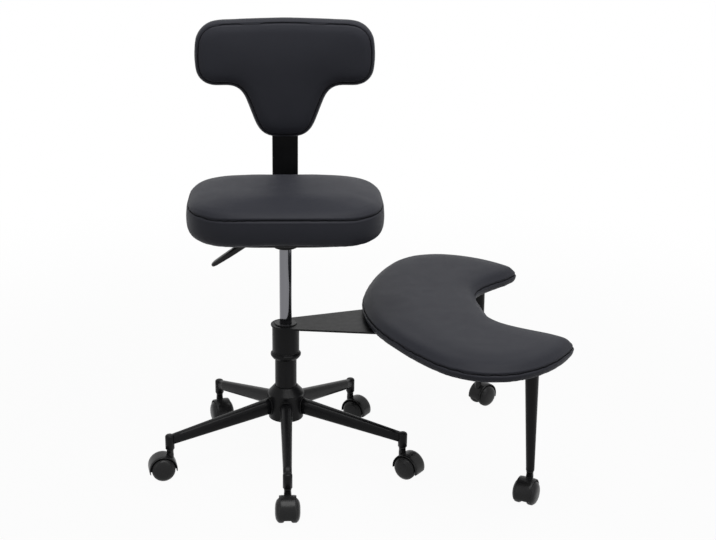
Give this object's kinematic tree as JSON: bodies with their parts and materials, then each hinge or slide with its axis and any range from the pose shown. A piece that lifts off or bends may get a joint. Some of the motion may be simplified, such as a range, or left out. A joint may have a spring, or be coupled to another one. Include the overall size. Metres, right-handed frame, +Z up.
{
  "type": "office chair",
  "caption": "Office chair for sitting cross-legged: T-shaped back, gas-lift seat, star base on hooded casters, and a crescent footrest on caster legs that swings round the column.",
  "frame": {"origin": "on the floor below the middle of the whole chair", "axes": "+Z up, -Y the way the sitter faces, +X towards the footrest at rest"},
  "size_m": [0.9428, 0.775, 1.0138],
  "materials": {
    "leather": "satin",
    "black_steel": "satin",
    "bright_steel": "satin",
    "chrome": "polished",
    "nylon": "satin",
    "tread": "satin",
    "lined_board": "matte"
  },
  "bodies": {
    "base": {"base_hub": "black_steel", "base_leg_1": "black_steel", "base_leg_2": "black_steel", "base_leg_3": "black_steel", "base_leg_4": "black_steel", "base_leg_5": "black_steel", "column_tube": "black_steel", "guide_bush": "nylon", "support_collar": "black_steel", "thrust_bearing": "bright_steel", "retaining_clip": "bright_steel", "caster_1_stem": "bright_steel", "caster_2_stem": "bright_steel", "caster_3_stem": "bright_steel", "caster_4_stem": "bright_steel", "caster_5_stem": "bright_steel"},
    "piston": {"piston_rod": "bright_steel"},
    "seat": {"gas_cylinder": "chrome", "taper_cup": "black_steel", "seat_plate": "black_steel", "seat_board": "lined_board", "seat_cushion": "leather", "lever_pin": "bright_steel", "back_bar": "black_steel", "back_board": "lined_board", "back_cushion": "leather"},
    "lever": {"lever_rod": "bright_steel", "lever_paddle": "nylon"},
    "release": {"release_pin": "bright_steel"},
    "footrest": {"swivel_sleeve": "black_steel", "sleeve_bush_lower": "nylon", "sleeve_bush_upper": "nylon", "arm_plate": "black_steel", "footrest_board": "lined_board", "footrest_pad": "leather", "footrest_leg_front": "black_steel", "footrest_leg_rear": "black_steel", "caster_6_stem": "bright_steel", "caster_7_stem": "bright_steel"},
    "caster_1": {"caster_1_hood": "nylon"},
    "wheel_1_left": {"caster_1_wheel_left": "tread"},
    "wheel_1_right": {"caster_1_wheel_right": "tread"},
    "caster_2": {"caster_2_hood": "nylon"},
    "wheel_2_left": {"caster_2_wheel_left": "tread"},
    "wheel_2_right": {"caster_2_wheel_right": "tread"},
    "caster_3": {"caster_3_hood": "nylon"},
    "wheel_3_left": {"caster_3_wheel_left": "tread"},
    "wheel_3_right": {"caster_3_wheel_right": "tread"},
    "caster_4": {"caster_4_hood": "nylon"},
    "wheel_4_left": {"caster_4_wheel_left": "tread"},
    "wheel_4_right": {"caster_4_wheel_right": "tread"},
    "caster_5": {"caster_5_hood": "nylon"},
    "wheel_5_left": {"caster_5_wheel_left": "tread"},
    "wheel_5_right": {"caster_5_wheel_right": "tread"},
    "caster_6": {"caster_6_hood": "nylon"},
    "wheel_6_left": {"caster_6_wheel_left": "tread"},
    "wheel_6_right": {"caster_6_wheel_right": "tread"},
    "caster_7": {"caster_7_hood": "nylon"},
    "wheel_7_left": {"caster_7_wheel_left": "tread"},
    "wheel_7_right": {"caster_7_wheel_right": "tread"}
  },
  "joints": [
    {"name": "column_swivel", "type": "hinge", "parent": "base", "child": "piston", "pos_m": [-0.1515, -0.0366, 0.1256], "axis": [0, 0, 1], "continuous": true},
    {"name": "seat_lift", "type": "slide", "parent": "piston", "child": "seat", "axis": [0, 0, 1], "range_m": [-0.12, 0]},
    {"name": "lever_pivot", "type": "hinge", "parent": "seat", "child": "lever", "pos_m": [-0.1755, -0.0366, 0.5627], "axis": [0, 1, 0], "range_deg": [0, 8], "stiffness_Nm_per_rad": 2, "springref_deg": -17.19},
    {"name": "release_slide", "type": "slide", "parent": "seat", "child": "release", "axis": [0, 0, 1], "range_m": [-0.004, 0]},
    {"name": "footrest_swivel", "type": "hinge", "parent": "base", "child": "footrest", "pos_m": [-0.1515, -0.0366, 0.2781], "axis": [0, 0, 1], "continuous": true},
    {"name": "caster_1_swivel", "type": "hinge", "parent": "base", "child": "caster_1", "pos_m": [-0.14856, -0.31759, 0.072], "axis": [0, 0, 1], "continuous": true},
    {"name": "caster_1_axle_left", "type": "hinge", "parent": "caster_1", "child": "wheel_1_left", "pos_m": [-0.14856, -0.33559, 0.027], "axis": [1, 0, 0], "continuous": true},
    {"name": "caster_1_axle_right", "type": "hinge", "parent": "caster_1", "child": "wheel_1_right", "pos_m": [-0.14856, -0.33559, 0.027], "axis": [1, 0, 0], "continuous": true},
    {"name": "caster_2_swivel", "type": "hinge", "parent": "base", "child": "caster_2", "pos_m": [0.11664, -0.12063, 0.072], "axis": [0, 0, 1], "continuous": true},
    {"name": "caster_2_axle_left", "type": "hinge", "parent": "caster_2", "child": "wheel_2_left", "pos_m": [0.13083, -0.13171, 0.027], "axis": [0.6157, 0.788, 0], "continuous": true},
    {"name": "caster_2_axle_right", "type": "hinge", "parent": "caster_2", "child": "wheel_2_right", "pos_m": [0.13083, -0.13171, 0.027], "axis": [0.6157, 0.788, 0], "continuous": true},
    {"name": "caster_3_swivel", "type": "hinge", "parent": "base", "child": "caster_3", "pos_m": [0.01128, 0.19245, 0.072], "axis": [0, 0, 1], "continuous": true},
    {"name": "caster_3_axle_left", "type": "hinge", "parent": "caster_3", "child": "wheel_3_left", "pos_m": [0.0262, 0.18238, 0.027], "axis": [0.5592, 0.829, 0], "continuous": true},
    {"name": "caster_3_axle_right", "type": "hinge", "parent": "caster_3", "child": "wheel_3_right", "pos_m": [0.0262, 0.18238, 0.027], "axis": [0.5592, 0.829, 0], "continuous": true},
    {"name": "caster_4_swivel", "type": "hinge", "parent": "base", "child": "caster_4", "pos_m": [-0.31904, 0.18899, 0.072], "axis": [0, 0, 1], "continuous": true},
    {"name": "caster_4_axle_left", "type": "hinge", "parent": "caster_4", "child": "wheel_4_left", "pos_m": [-0.31288, 0.17208, 0.027], "axis": [0.9397, 0.342, 0], "continuous": true},
    {"name": "caster_4_axle_right", "type": "hinge", "parent": "caster_4", "child": "wheel_4_right", "pos_m": [-0.31288, 0.17208, 0.027], "axis": [0.9397, 0.342, 0], "continuous": true},
    {"name": "caster_5_swivel", "type": "hinge", "parent": "base", "child": "caster_5", "pos_m": [-0.41782, -0.12623, 0.072], "axis": [0, 0, 1], "continuous": true},
    {"name": "caster_5_axle_left", "type": "hinge", "parent": "caster_5", "child": "wheel_5_left", "pos_m": [-0.43543, -0.12997, 0.027], "axis": [0.2079, -0.9781, 0], "continuous": true},
    {"name": "caster_5_axle_right", "type": "hinge", "parent": "caster_5", "child": "wheel_5_right", "pos_m": [-0.43543, -0.12997, 0.027], "axis": [0.2079, -0.9781, 0], "continuous": true},
    {"name": "caster_6_swivel", "type": "hinge", "parent": "footrest", "child": "caster_6", "pos_m": [0.39002, -0.24265, 0.072], "axis": [0, 0, 1], "continuous": true},
    {"name": "caster_6_axle_left", "type": "hinge", "parent": "caster_6", "child": "wheel_6_left", "pos_m": [0.38102, -0.25824, 0.027], "axis": [0.866, -0.5, 0], "continuous": true},
    {"name": "caster_6_axle_right", "type": "hinge", "parent": "caster_6", "child": "wheel_6_right", "pos_m": [0.38102, -0.25824, 0.027], "axis": [0.866, -0.5, 0], "continuous": true},
    {"name": "caster_7_swivel", "type": "hinge", "parent": "footrest", "child": "caster_7", "pos_m": [0.34601, 0.26035, 0.072], "axis": [0, 0, 1], "continuous": true},
    {"name": "caster_7_axle_left", "type": "hinge", "parent": "caster_7", "child": "wheel_7_left", "pos_m": [0.3602, 0.27143, 0.027], "axis": [-0.6157, 0.788, 0], "continuous": true},
    {"name": "caster_7_axle_right", "type": "hinge", "parent": "caster_7", "child": "wheel_7_right", "pos_m": [0.3602, 0.27143, 0.027], "axis": [-0.6157, 0.788, 0], "continuous": true}
  ],
  "couplings": [
    {"joint": "release_slide", "follows": "lever_pivot", "m_per_rad": -0.0278}
  ]
}
